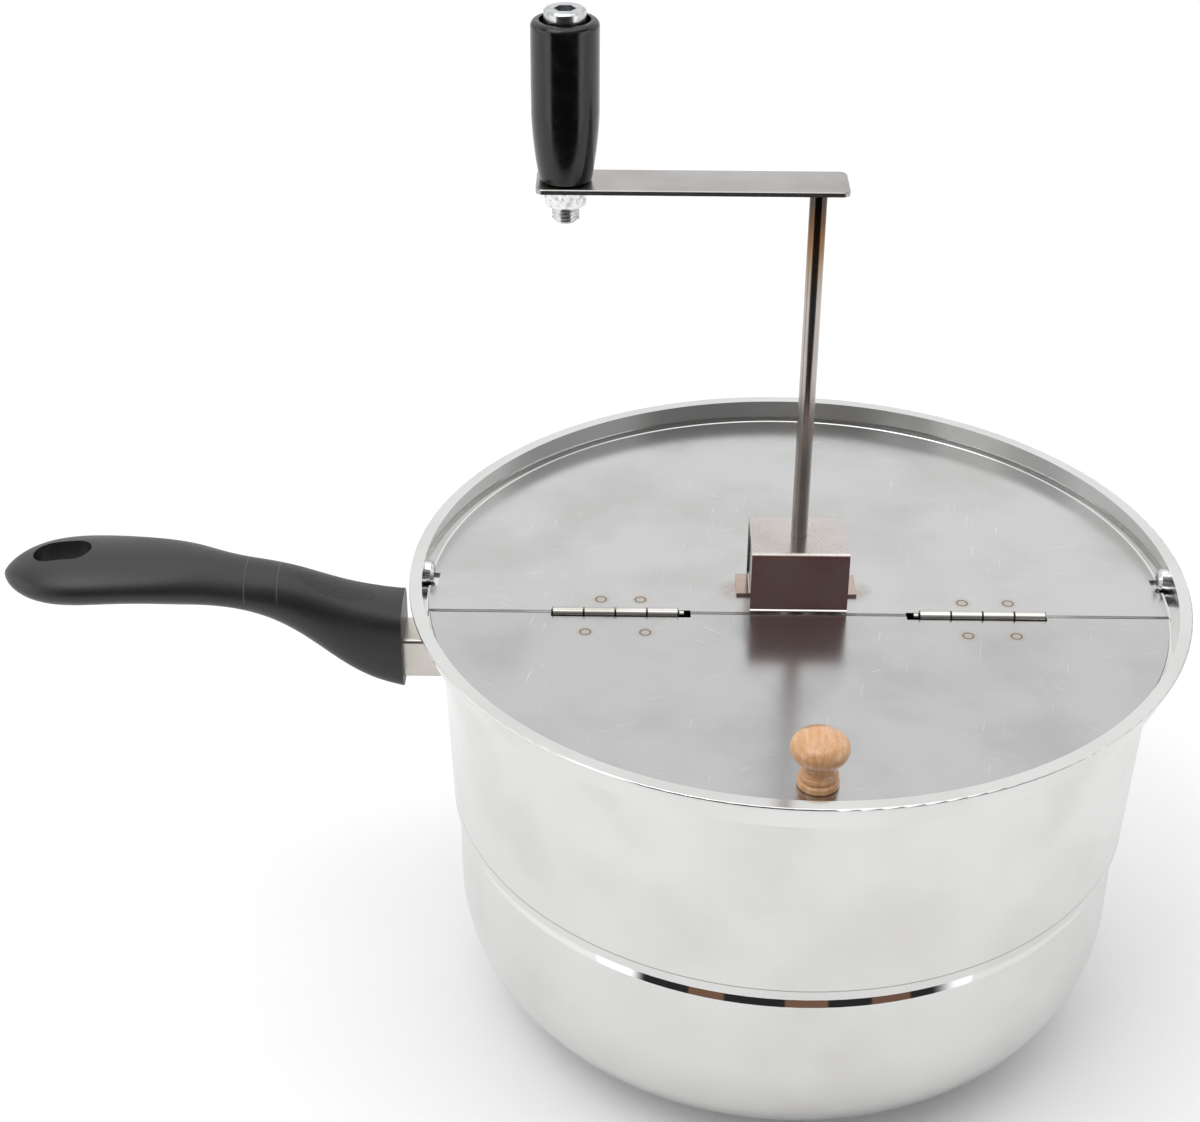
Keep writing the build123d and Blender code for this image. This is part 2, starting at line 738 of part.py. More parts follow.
with BuildPart() as crank_grip:
    with BuildSketch(Plane.XZ):
        with BuildLine():
            widening = grip_radius - grip_foot_radius
            taper = ThreePointArc(
                (-arm_radius - grip_foot_radius, grip_foot),
                (
                    -arm_radius - grip_foot_radius - grip_taper_share * widening,
                    grip_foot + grip_taper_height / 2,
                ),
                (-arm_radius - grip_radius, grip_foot + grip_taper_height),
            )
            Polyline(
                taper @ 1,
                (-arm_radius - grip_radius, grip_top),
                (-arm_radius, grip_top),
                (-arm_radius, grip_foot),
                taper @ 0,
            )
        make_face()
    revolve(axis=Axis((-arm_radius, 0, 0), (0, 0, 1)))
    fillet(crank_grip.edges().group_by(Axis.Z)[-1], grip_top_round)
    chamfer(crank_grip.edges().group_by(Axis.Z)[0], grip_foot_round)
    with BuildSketch(Plane.XY.offset(grip_top)):
        with Locations((-arm_radius, 0)):
            Circle(grip_recess_radius)
    extrude(amount=-grip_recess_depth, mode=Mode.SUBTRACT)
    with BuildSketch(Plane.XY.offset(grip_foot)):
        with Locations((-arm_radius, 0)):
            Circle(bolt_radius + pivot_gap)
    extrude(amount=grip_length, mode=Mode.SUBTRACT)
crank_grip.part.label = "crank_grip"
export_step(crank_grip.part, "parts/crank_grip.step")

# ---- Stirrer ----
with BuildPart() as stirrer_hub:
    add(ring(blade_foot, hub_radius, hub_height, hub_screw_height))
    chamfer(rim_edges(stirrer_hub, hub_radius), collar_edge)
    for side in (1, -1):
        with BuildSketch(Plane.XY.offset(blade_foot)):
            with Locations((side * (hub_slot_floor + hub_radius) / 2, 0)):
                Rectangle(hub_radius - hub_slot_floor, blade_thickness)
        extrude(amount=blade_height, mode=Mode.SUBTRACT)
stirrer_hub.part.label = "stirrer_hub"
export_step(stirrer_hub.part, "parts/stirrer_hub.step")

with BuildPart() as stirrer_screw:
    add(set_screw(hub_radius - set_screw_sink, hub_screw_height))
stirrer_screw.part.label = "stirrer_screw"
export_step(stirrer_screw.part, "parts/stirrer_screw.step")


def blade(side):
    """Flat blade from the hub to the pot's corner; its lower edge follows the pot's inside."""
    with BuildPart() as piece:
        heel = (side * hub_slot_floor, blade_foot)
        bend = (side * corner_middle, corner_radius)
        start = -90
        sweep = side * blade_climb
        with BuildSketch(Plane.XZ.offset(-blade_thickness / 2)) as outline:
            with BuildLine():
                lower = CenterArc(bend, blade_corner_radius, start, sweep)
                upper = CenterArc(bend, blade_corner_radius - blade_height, start, sweep)
                Line(heel, lower @ 0)
                Line(lower @ 1, upper @ 1)
                Line(upper @ 0, (heel[0], blade_foot + blade_height))
                Line((heel[0], blade_foot + blade_height), heel)
            make_face()
            tip = outline.vertices().sort_by(Axis.Y)[-2:]
            fillet(tip, blade_tip_round)
        extrude(amount=blade_thickness)
    return piece.part


with BuildPart() as blade_right:
    add(blade(1))
blade_right.part.label = "blade_right"
export_step(blade_right.part, "parts/blade_right.step")

with BuildPart() as blade_left:
    add(blade(-1))
blade_left.part.label = "blade_left"
export_step(blade_left.part, "parts/blade_left.step")


# ---- Handle ----
def handle_bracket_body(play):
    """Box section from inside the pot's wall to the socket's floor, with its end plate."""
    with BuildPart() as piece:
        with BuildSketch(Plane.YZ.offset(-bracket_end - play)):
            with Locations((0, handle_bracket_middle)):
                RectangleRounded(
                    handle_bracket_width + 2 * play,
                    handle_bracket_height + 2 * play,
                    handle_bracket_bend + play,
                )
        extrude(amount=bracket_end + play - corner_middle)
    return piece.part


def tang_body(play):
    """Flat bar that climbs inside the handle from the end plate."""
    with BuildPart() as piece:
        half = tang_thickness / 2 + play
        with BuildSketch(Plane.XZ.offset(-tang_width / 2 - play)):
            with BuildLine():
                Polyline(
                    (-bracket_end + play, handle_bracket_middle - half),
                    (-bracket_end + play, handle_bracket_middle + half),
                    (-bracket_end - tang_length - play, tang_top + half),
                    (-bracket_end - tang_length - play, tang_top - half),
                    close=True,
                )
            make_face()
        extrude(amount=tang_width + 2 * play)
    return piece.part


with BuildPart() as handle_bracket:
    add(handle_bracket_body(0))
    with BuildSketch(Plane.YZ.offset(-bracket_end + handle_bracket_wall)):
        with Locations((0, handle_bracket_middle)):
            RectangleRounded(
                handle_bracket_width - 2 * handle_bracket_wall,
                handle_bracket_height - 2 * handle_bracket_wall,
                handle_bracket_bend - handle_bracket_wall,
            )
    extrude(amount=bracket_end, mode=Mode.SUBTRACT)
    add(tang_body(0))
    with BuildSketch(Plane.XY.offset(handle_bracket_middle)):
        with Locations((-handle_screw_x, 0)):
            Circle(handle_screw_radius)
    extrude(amount=tang_rise + tang_thickness, mode=Mode.SUBTRACT)
    add(pot_envelope.part, mode=Mode.SUBTRACT)
handle_bracket.part.label = "handle_bracket"
export_step(handle_bracket.part, "parts/handle_bracket.step")


def oval(middle, half_width, half_height, squareness):
    """Points round a section that goes from an ellipse (2) to a rounded box (4 and more)."""
    points = []
    for index in range(station_points):
        angle = 2 * pi * (index + 0.5) / station_points
        across = abs(cos(angle)) ** (2 / squareness)
        up = abs(sin(angle)) ** (2 / squareness)
        points.append(
            (
                half_width * across * (1 if cos(angle) > 0 else -1),
                middle + half_height * up * (1 if sin(angle) > 0 else -1),
            )
        )
    return points


with BuildPart() as handle_grip:
    for share, drop, wide, high, squareness in handle_stations:
        station = Plane.YZ.offset(-handle_start - share * handle_length)
        with BuildSketch(station):
            with BuildLine():
                Spline(*oval(pot_height - drop, wide, high, squareness), periodic=True)
            make_face()
    loft()
    add(handle_bracket_body(socket_clearance), mode=Mode.SUBTRACT)
    add(tang_body(socket_clearance), mode=Mode.SUBTRACT)
    hole_middle = handle_start + handle_length - hang_hole_from_tip
    with BuildSketch(Plane.XY.offset(pot_height - 2 * hang_hole_width)):
        with Locations((-hole_middle, 0)):
            SlotOverall(hang_hole_length, hang_hole_width)
    extrude(amount=4 * hang_hole_width, mode=Mode.SUBTRACT)
    with BuildSketch(Plane.XY.offset(handle_screw_head_top)):
        with Locations((-handle_screw_x, 0)):
            Circle(handle_screw_hole_radius)
    extrude(amount=-handle_bracket_height, mode=Mode.SUBTRACT)
    with BuildSketch(Plane.XY.offset(handle_screw_head_top)):
        with Locations((-handle_screw_x, 0)):
            Circle(handle_screw_radius + socket_clearance)
    extrude(amount=handle_screw_top + handle_screw_tail - handle_screw_head_top, mode=Mode.SUBTRACT)
handle_grip.part.label = "handle_grip"
export_step(handle_grip.part, "parts/handle_grip.step")

with BuildPart() as handle_screw:
    with BuildSketch(Plane.XY.offset(handle_screw_head_top)):
        with Locations((-handle_screw_x, 0)):
            Circle(handle_screw_head_radius)
    extrude(amount=-handle_screw_head_height)
    chamfer(handle_screw.edges().group_by(Axis.Z)[0], handle_screw_bevel)
    with BuildSketch(Plane.XY.offset(handle_screw_head_top)):
        with Locations((-handle_screw_x, 0)):
            Circle(handle_screw_radius)
    extrude(amount=handle_screw_top + handle_screw_tail - seat_gap - handle_screw_head_top)
    with BuildSketch(Plane.XY.offset(handle_screw_head_top - handle_screw_head_height)):
        with Locations((-handle_screw_x, 0)):
            Rectangle(knob_screw_cross * handle_screw_radius, handle_screw_recess / 2)
            Rectangle(handle_screw_recess / 2, knob_screw_cross * handle_screw_radius)
    extrude(amount=handle_screw_recess, mode=Mode.SUBTRACT)
handle_screw.part.label = "handle_screw"
export_step(handle_screw.part, "parts/handle_screw.step")
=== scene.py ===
"""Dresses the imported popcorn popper: finishes, small weld marks, studio and camera."""

import logging
import math
from dataclasses import dataclass
from enum import Enum
from typing import Any, Sequence

import bpy
from mathutils import Matrix, Vector


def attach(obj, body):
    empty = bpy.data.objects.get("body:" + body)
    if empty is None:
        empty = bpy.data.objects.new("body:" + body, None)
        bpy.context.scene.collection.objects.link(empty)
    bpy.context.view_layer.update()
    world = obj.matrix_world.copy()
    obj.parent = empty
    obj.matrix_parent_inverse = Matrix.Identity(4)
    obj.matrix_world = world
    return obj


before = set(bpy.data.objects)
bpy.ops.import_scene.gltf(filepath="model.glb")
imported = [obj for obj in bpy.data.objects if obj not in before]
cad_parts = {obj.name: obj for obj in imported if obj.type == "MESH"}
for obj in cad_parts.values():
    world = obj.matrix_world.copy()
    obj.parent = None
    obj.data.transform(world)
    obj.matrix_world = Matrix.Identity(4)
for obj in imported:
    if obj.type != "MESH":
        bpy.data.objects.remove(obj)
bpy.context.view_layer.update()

log = logging.getLogger("popper")
MM = 0.001


# ---------------------------------------------------------------- shader tools
def linear(hex_colour: str) -> tuple[float, float, float, float]:
    """Turns an sRGB hex colour into linear red, green, blue and alpha.

    Args:
        hex_colour: six hex digits, with or without a leading hash.

    Returns:
        The colour as four linear numbers.
    """
    digits = hex_colour.lstrip("#")
    parts = [int(digits[i : i + 2], 16) / 255 for i in (0, 2, 4)]
    line = [p / 12.92 if p <= 0.04045 else ((p + 0.055) / 1.055) ** 2.4 for p in parts]
    return (line[0], line[1], line[2], 1.0)


def new_material(name: str) -> tuple[bpy.types.Material, bpy.types.Node]:
    """Makes an empty node material.

    Args:
        name: the material's name.

    Returns:
        The material and its Principled shader node.
    """
    material = bpy.data.materials.new(name)
    material.use_nodes = True
    shader = material.node_tree.nodes["Principled BSDF"]
    return material, shader


def add_node(
    tree: bpy.types.NodeTree,
    kind: str,
    inputs: dict[Any, Any] | None = None,
    **settings: Any,
) -> bpy.types.Node:
    """Adds one node, sets its properties, and sets or links its inputs.

    Args:
        tree: the node tree.
        kind: the node's type name.
        inputs: socket name or index to a value, or to an output socket to link.
        settings: properties of the node itself.

    Returns:
        The new node.
    """
    node = tree.nodes.new(kind)
    for key, value in settings.items():
        setattr(node, key, value)
    for key, value in (inputs or {}).items():
        if isinstance(value, bpy.types.NodeSocket):
            tree.links.new(value, node.inputs[key])
        else:
            node.inputs[key].default_value = value
    return node


class Paint:
    """Short calls for the sums that the finishes are made of."""

    def __init__(self, tree: bpy.types.NodeTree, source: str = "Object") -> None:
        """Starts with the object's own coordinates, in metres.

        Args:
            tree: the node tree.
            source: "Generated" in the world's tree, where it is the direction.
        """
        self.tree = tree
        self.place = add_node(tree, "ShaderNodeTexCoord").outputs[source]
        parts = add_node(tree, "ShaderNodeSeparateXYZ", {0: self.place})
        self.x, self.y, self.z = parts.outputs

    def math(self, operation: str, a: Any, b: Any = 0.0, c: Any = 0.0) -> bpy.types.NodeSocket:
        """Adds one math node.

        Args:
            operation: the sum that it does.
            a: the first value or socket.
            b: the second value or socket.
            c: the third value or socket.

        Returns:
            The result's socket.
        """
        inputs = {0: a, 1: b, 2: c}
        node = add_node(self.tree, "ShaderNodeMath", inputs, operation=operation)
        return node.outputs[0]

    def ramp(
        self,
        value: Any,
        low: float,
        high: float,
        start: float = 0.0,
        end: float = 1.0,
        smooth: bool = True,
    ) -> bpy.types.NodeSocket:
        """Maps value from low..high to start..end, held at the ends.

        Args:
            value: the socket that is mapped.
            low: the value that gives start.
            high: the value that gives end.
            start: the result at low.
            end: the result at high.
            smooth: whether the step eases in and out.

        Returns:
            The mapped value's socket.
        """
        inputs = {0: value, 1: low, 2: high, 3: start, 4: end}
        kind = "SMOOTHSTEP" if smooth else "LINEAR"
        node = add_node(self.tree, "ShaderNodeMapRange", inputs, interpolation_type=kind)
        return node.outputs[0]

    def noise(
        self,
        size: float,
        detail: float = 3.0,
        stretch: Sequence[float] = (1, 1, 1),
        offset: float = 0.0,
        turn: float = 0.0,
    ) -> bpy.types.NodeSocket:
        """Noise between about 0 and 1.

        Args:
            size: the size of its spots in metres.
            detail: octaves.
            stretch: how much longer the spots are along X, Y and Z.
            offset: a shift that gives another pattern.
            turn: degrees about Z by which the stretched direction turns.

        Returns:
            The noise value's socket.
        """
        place = self.place
        if turn:
            inputs = {0: place, 2: (0, 0, math.radians(-turn))}
            place = add_node(self.tree, "ShaderNodeMapping", inputs).outputs[0]
        scale = [1 / (size * s) for s in stretch]
        inputs = {0: place, 1: (offset, offset, offset), 3: scale}
        mapped = add_node(self.tree, "ShaderNodeMapping", inputs)
        inputs = {"Vector": mapped.outputs[0], "Scale": 1.0, "Detail": detail, "Roughness": 0.5}
        return add_node(self.tree, "ShaderNodeTexNoise", inputs).outputs[0]

    def mix(self, share: Any, a: Any, b: Any) -> bpy.types.NodeSocket:
        """Mixes two colours.

        Args:
            share: 0 gives colour a, and 1 gives colour b.
            a: the first colour or its socket.
            b: the second colour or its socket.

        Returns:
            The mixed colour's socket.
        """
        node = add_node(self.tree, "ShaderNodeMix", data_type="RGBA")
        for index, value in ((0, share), (6, a), (7, b)):
            if isinstance(value, bpy.types.NodeSocket):
                self.tree.links.new(value, node.inputs[index])
            else:
                node.inputs[index].default_value = value
        return node.outputs[2]

    def between(self, value: Any, low: float, high: float, soft: float) -> bpy.types.NodeSocket:
        """Marks where a value lies between two limits.

        Args:
            value: the socket that is tested.
            low: the lower limit.
            high: the upper limit.
            soft: the distance outside the limits over which the mark fades.

        Returns:
            A socket with 1 between the limits and 0 away from them.
        """
        up = self.ramp(value, low - soft, low)
        down = self.ramp(value, high, high + soft, 1.0, 0.0)
        return self.math("MULTIPLY", up, down)

    def distance(self, x: float, y: float) -> bpy.types.NodeSocket:
        """Measures how far the surface is from an upright line.

        Args:
            x: the line's place along X in metres.
            y: the line's place along Y in metres.

        Returns:
            The distance's socket, in metres.
        """
        dx = self.math("SUBTRACT", self.x, x)
        dy = self.math("SUBTRACT", self.y, y)
        total = self.math("ADD", self.math("POWER", dx, 2.0), self.math("POWER", dy, 2.0))
        return self.math("SQRT", total)

    def radius(self) -> bpy.types.NodeSocket:
        """Distance in metres from the pot's axis."""
        return self.distance(0, 0)

    def colours(self, value: Any, stops: Sequence[tuple[float, str]]) -> bpy.types.NodeSocket:
        """Adds a colour ramp.

        Args:
            value: the socket that runs along the ramp, from 0 to 1.
            stops: each stop's place and hex colour.

        Returns:
            The colour's socket.
        """
        node = add_node(self.tree, "ShaderNodeValToRGB", {0: value})
        ramp = node.color_ramp
        while len(ramp.elements) < len(stops):
            ramp.elements.new(0.5)
        for element, (place, colour) in zip(ramp.elements, stops):
            element.position = place
            element.color = linear(colour)
        return node.outputs[0]

    def bump(
        self,
        height: Any,
        depth: float,
        strength: float = 1.0,
        normal: Any = None,
    ) -> bpy.types.NodeSocket:
        """Turns a height into a normal.

        Args:
            height: the socket with the height, from 0 to 1.
            depth: how deep a height of 1 is, in metres.
            strength: how much of the bump shows.
            normal: an earlier bump's normal to build on, or None.

        Returns:
            The normal's socket.
        """
        inputs = {"Height": height, "Distance": depth, "Strength": strength}
        if normal is not None:
            inputs["Normal"] = normal
        return add_node(self.tree, "ShaderNodeBump", inputs).outputs[0]


class Shape(Enum):
    """Which way a steel piece was brushed or rolled."""

    ROUND = "round the pot"
    ALONG_X = "along X"
    UPRIGHT = "upright"
    NONE = "none"


@dataclass(frozen=True)
class Steel:
    """Stainless steel with a grain, faint stains and fine scratches."""

    name: str
    colour: str = "#D4D3D1"
    stain: str = "#B9B6B1"
    roughness: float = 0.24
    grain: Shape = Shape.NONE
    grain_depth: float = 0.004
    mottle: float = 0.10

    def build(self) -> tuple[bpy.types.Material, bpy.types.Node, Paint]:
        """Makes the material.

        Returns:
            The material, its shader, and the paint helper for more layers.
        """
        material, shader = new_material(self.name)
        paint = Paint(material.node_tree)
        clouds = paint.noise(35 * MM, 4.0)
        patches = paint.ramp(clouds, 0.35, 0.72)
        colour = paint.mix(patches, linear(self.colour), linear(self.stain))
        smoothest = self.roughness - self.mottle / 3
        roughest = self.roughness + self.mottle / 2
        rough = paint.ramp(clouds, 0.3, 0.75, smoothest, roughest)
        link = material.node_tree.links.new
        shader.inputs["Metallic"].default_value = 1.0
        link(colour, shader.inputs["Base Color"])
        link(rough, shader.inputs["Roughness"])
        height = self._grain(paint)
        if height is not None:
            link(paint.bump(height, self.grain_depth * MM), shader.inputs["Normal"])
        return material, shader, paint

    def _grain(self, paint: Paint) -> Any:
        """Height of the grain's lines, or None."""
        if self.grain is Shape.ROUND:
            return paint.noise(0.25 * MM, 2.0, (400, 400, 1))
        if self.grain is Shape.ALONG_X:
            return paint.noise(0.22 * MM, 2.0, (120, 1, 1))
        if self.grain is Shape.UPRIGHT:
            return paint.noise(0.22 * MM, 2.0, (1, 1, 120))
        return None


@dataclass(frozen=True)
class PotSteel(Steel):
    """The pot's satin steel, with the polished step, lip and inside."""

    band_foot: float = 77.0 * MM
    band_top: float = 82.6 * MM
    ledge: float = 158.6 * MM
    line_height: float = 86.2 * MM

    def build(self) -> tuple[bpy.types.Material, bpy.types.Node, Paint]:
        """Makes the material, smoother on the step, the lip and the inside."""
        material, shader, paint = super().build()
        tree = material.node_tree
        rough = shader.inputs["Roughness"].links[0].from_socket
        above = paint.ramp(paint.z, self.band_foot, self.band_foot + 0.2 * MM)
        below = paint.ramp(paint.z, self.band_top, self.band_top + 0.2 * MM, 1.0, 0.0)
        band = paint.math("MULTIPLY", above, below)
        lip = paint.ramp(paint.z, self.ledge, self.ledge + 0.3 * MM)
        polished = paint.math("MAXIMUM", band, paint.math("MULTIPLY", lip, 0.55))
        smooth = paint.math("MULTIPLY_ADD", polished, -0.9, 1.0)
        tree.links.new(paint.math("MULTIPLY", rough, smooth), shader.inputs["Roughness"])
        lean = paint.ramp(paint.z, self.band_foot, self.band_top, 1.0, 0.0, smooth=False)
        before = shader.inputs["Normal"].links[0].from_socket
        tree.links.new(paint.bump(lean, 0.55 * MM, 1.0, before), shader.inputs["Normal"])
        # Painted shade: a thin dark grey line round the wall at line_height.
        line = paint.math("ABSOLUTE", paint.math("SUBTRACT", paint.z, self.line_height))
        painted_groove_shade = paint.ramp(line, 0.1 * MM, 0.25 * MM)
        colour = shader.inputs["Base Color"].links[0].from_socket
        tree.links.new(paint.mix(painted_groove_shade, linear("#8E8C89"), colour), shader.inputs["Base Color"])
        return material, shader, paint


@dataclass(frozen=True)
class LidSteel(Steel):
    """Rolled sheet with the rings of the spot welds and the tint round them."""

    welds: tuple[tuple[float, float], ...] = ()
    feet: tuple[tuple[float, float], ...] = ()
    edge_radius: float = 128.0 * MM
    edge_line: float | None = None

    def build(self) -> tuple[bpy.types.Material, bpy.types.Node, Paint]:
        """Makes the material with a ring and a little tint at each weld."""
        material, shader, paint = super().build()
        tree = material.node_tree
        colour = shader.inputs["Base Color"].links[0].from_socket
        near = None
        for x, y in self.welds:
            away = paint.distance(x * MM, y * MM)
            near = away if near is None else paint.math("MINIMUM", near, away)
        if near is not None:
            ring = paint.math("ABSOLUTE", paint.math("SUBTRACT", near, 1.75 * MM))
            ring = paint.ramp(ring, 0.15 * MM, 0.5 * MM, 1.0, 0.0)
            spot = paint.ramp(near, 1.2 * MM, 1.8 * MM, 1.0, 0.0)
            halo = paint.ramp(near, 1.5 * MM, 4.0 * MM, 0.3, 0.0)
            colour = paint.mix(halo, colour, linear("#A88F6E"))
            colour = paint.mix(paint.math("MULTIPLY", ring, 0.8), colour, linear("#6E5B49"))
            colour = paint.mix(paint.math("MULTIPLY", spot, 0.4), colour, linear("#B9B2A6"))
            sunk = paint.ramp(near, 1.0 * MM, 2.2 * MM)
            normal = shader.inputs["Normal"].links
            before = normal[0].from_socket if normal else None
            tree.links.new(paint.bump(sunk, 0.05 * MM, 1.0, before), shader.inputs["Normal"])
        for x, y in self.feet:
            away = paint.distance(x * MM, y * MM)
            tint = paint.ramp(away, 3.0 * MM, 9.0 * MM, 0.42, 0.0)
            uneven = paint.ramp(paint.noise(3 * MM, 3.0), 0.3, 0.7, 0.4, 1.0)
            tint = paint.math("MULTIPLY", tint, uneven)
            colour = paint.mix(tint, colour, linear("#9A7A66"))
        for turn, offset in ((20, 0.0), (-35, 5.0), (78, 9.0)):
            lines = paint.noise(0.35 * MM, 1.0, (45, 1, 1), offset, turn=turn)
            areas = paint.ramp(paint.noise(30 * MM, 2.0, offset=offset), 0.45, 0.6)
            worn = paint.math("MULTIPLY", paint.ramp(lines, 0.74, 0.78), areas)
            colour = paint.mix(paint.math("MULTIPLY", worn, 0.5), colour, linear("#F2F1EF"))
        colour = self._edge_highlight_and_lift(paint, shader, colour)
        tree.links.new(colour, shader.inputs["Base Color"])
        return material, shader, paint

    def _edge_highlight_and_lift(self, paint: Paint, shader: bpy.types.Node, colour: Any) -> Any:
        """Paints a highlight along the sheet's edges and turns them up a little with a bump.

        Args:
            paint: the helper on the material's tree.
            shader: the material's shader, whose normal gets the turned-up edge.
            colour: the colour so far.

        Returns:
            The colour with the painted edge highlight.
        """
        outer = paint.ramp(paint.radius(), self.edge_radius - 0.9 * MM, self.edge_radius)
        if self.edge_line is None:
            lifted_and_highlit = outer
        else:
            straight = paint.ramp(paint.y, self.edge_line + 1.5 * MM, self.edge_line, smooth=False)
            lifted_and_highlit = paint.math("MAXIMUM", outer, straight)
        normal = shader.inputs["Normal"].links
        before = normal[0].from_socket if normal else None
        turned = paint.bump(lifted_and_highlit, 0.6 * MM, 1.0, before)
        paint.tree.links.new(turned, shader.inputs["Normal"])
        # Painted highlight: the edges are mixed most of the way to near white.
        return paint.mix(paint.math("MULTIPLY", lifted_and_highlit, 0.9), colour, linear("#F4F4F3"))


HEAT_COLOURS = (
    (0.0, "#FFFFFF"),
    (0.3, "#F1E2C8"),
    (0.5, "#CFA671"),
    (0.7, "#96693F"),
    (0.85, "#5B4A48"),
    (0.93, "#474C57"),
    (1.0, "#33363C"),
)


@dataclass(frozen=True)
class TintedSteel(Steel):
    """Steel with the colours that welding leaves below a height."""

    weld_height: float = 0.31
    reach: float = 0.05

    def build(self) -> tuple[bpy.types.Material, bpy.types.Node, Paint]:
        """Makes the material with straw, brown and blue towards the weld."""
        material, shader, paint = super().build()
        tree = material.node_tree
        colour = shader.inputs["Base Color"].links[0].from_socket
        wander = paint.ramp(paint.noise(9 * MM, 2.0), 0.2, 0.8, -2 * MM, 2 * MM, smooth=False)
        height = paint.math("ADD", paint.z, wander)
        share = paint.ramp(height, self.weld_height - self.reach, self.weld_height, smooth=False)
        tint = paint.colours(share, HEAT_COLOURS)
        node = add_node(tree, "ShaderNodeMix", data_type="RGBA", blend_type="MULTIPLY")
        node.inputs[0].default_value = 0.9
        tree.links.new(colour, node.inputs[6])
        tree.links.new(tint, node.inputs[7])
        tree.links.new(node.outputs[2], shader.inputs["Base Color"])
        return material, shader, paint


@dataclass(frozen=True)
class KnuckleSteel(Steel):
    """Bright rolled hinge steel with a dark joint between the knuckles."""

    inner_end: float = 41.1 * MM
    pitch: float = 10.8 * MM
    joint: float = 0.22 * MM
    pin_height: float = 161.4 * MM

    def build(self) -> tuple[bpy.types.Material, bpy.types.Node, Paint]:
        """Makes the material with a dark line where one knuckle meets the next."""
        material, shader, paint = super().build()
        tree = material.node_tree
        along = paint.math("SUBTRACT", paint.math("ABSOLUTE", paint.x), self.inner_end)
        even = paint.math("PINGPONG", along, self.pitch)
        joint = paint.math("MINIMUM", even, paint.math("SUBTRACT", self.pitch, even))
        line = paint.ramp(joint, self.joint, 2 * self.joint, 1.0, 0.0)
        rolled = paint.ramp(paint.z, self.pin_height - 0.1 * MM, self.pin_height + 0.1 * MM)
        colour = shader.inputs["Base Color"].links[0].from_socket
        dark = paint.math("MULTIPLY", line, rolled)
        tree.links.new(paint.mix(dark, colour, linear("#2A2826")), shader.inputs["Base Color"])
        return material, shader, paint


@dataclass(frozen=True)
class BracketSteel(Steel):
    """The folded box's sheet: speckled, brown at the feet."""

    foot_height: float = 161.2 * MM
    front_face: float = -12.9 * MM

    def build(self) -> tuple[bpy.types.Material, bpy.types.Node, Paint]:
        """Makes the material with specks and the feet's heat tint."""
        material, shader, paint = super().build()
        tree = material.node_tree
        colour = shader.inputs["Base Color"].links[0].from_socket
        specks = paint.ramp(paint.noise(0.6 * MM, 2.0), 0.52, 0.66)
        colour = paint.mix(paint.math("MULTIPLY", specks, 0.35), colour, linear("#8F8781"))
        front = paint.ramp(paint.y, self.front_face, self.front_face - 0.4 * MM)
        # An uneven pinkish-brown tone on the front face only.
        stain = paint.ramp(paint.noise(14 * MM, 4.0, offset=7.0), 0.3, 0.7, 0.75, 1.0)
        colour = paint.mix(paint.math("MULTIPLY", front, stain), colour, linear("#A88380"))
        outside = paint.ramp(paint.math("ABSOLUTE", paint.x), 15.5 * MM, 17.5 * MM)
        foot = self.foot_height
        low = paint.ramp(paint.z, foot + 1.0 * MM, foot + 6.0 * MM, 1.0, 0.0)
        tint = paint.math("MULTIPLY", outside, low)
        colour = paint.mix(paint.math("MULTIPLY", tint, 0.45), colour, linear("#B08A74"))
        # Painted highlight: a bright line across the front face just above the feet.
        painted_foot_highlight = paint.between(paint.z, foot + 0.7 * MM, foot + 1.1 * MM, 0.4 * MM)
        painted_foot_highlight = paint.math("MULTIPLY", painted_foot_highlight, front)
        colour = paint.mix(painted_foot_highlight, colour, linear("#F2EFEC"))
        rolled = paint.ramp(paint.z, foot + 0.3 * MM, foot + 1.5 * MM, 1.0, 0.0)
        rolled = paint.math("MULTIPLY", rolled, front)
        tree.links.new(paint.bump(rolled, 0.9 * MM), shader.inputs["Normal"])
        tree.links.new(colour, shader.inputs["Base Color"])
        return material, shader, paint


@dataclass(frozen=True)
class Plated:
    """Bright zinc or nickel plating, duller in small patches."""

    name: str
    colour: str = "#D6D8DA"
    roughness: float = 0.16

    def build(self) -> tuple[bpy.types.Material, bpy.types.Node, Paint]:
        """Makes the material."""
        material, shader = new_material(self.name)
        tree = material.node_tree
        paint = Paint(tree)
        dirt = paint.noise(1.6 * MM, 4.0)
        colour = paint.mix(paint.ramp(dirt, 0.45, 0.75), linear(self.colour), linear("#A6A6A4"))
        tree.links.new(colour, shader.inputs["Base Color"])
        rough = paint.ramp(dirt, 0.3, 0.8, self.roughness, self.roughness + 0.14)
        tree.links.new(rough, shader.inputs["Roughness"])
        shader.inputs["Metallic"].default_value = 1.0
        return material, shader, paint


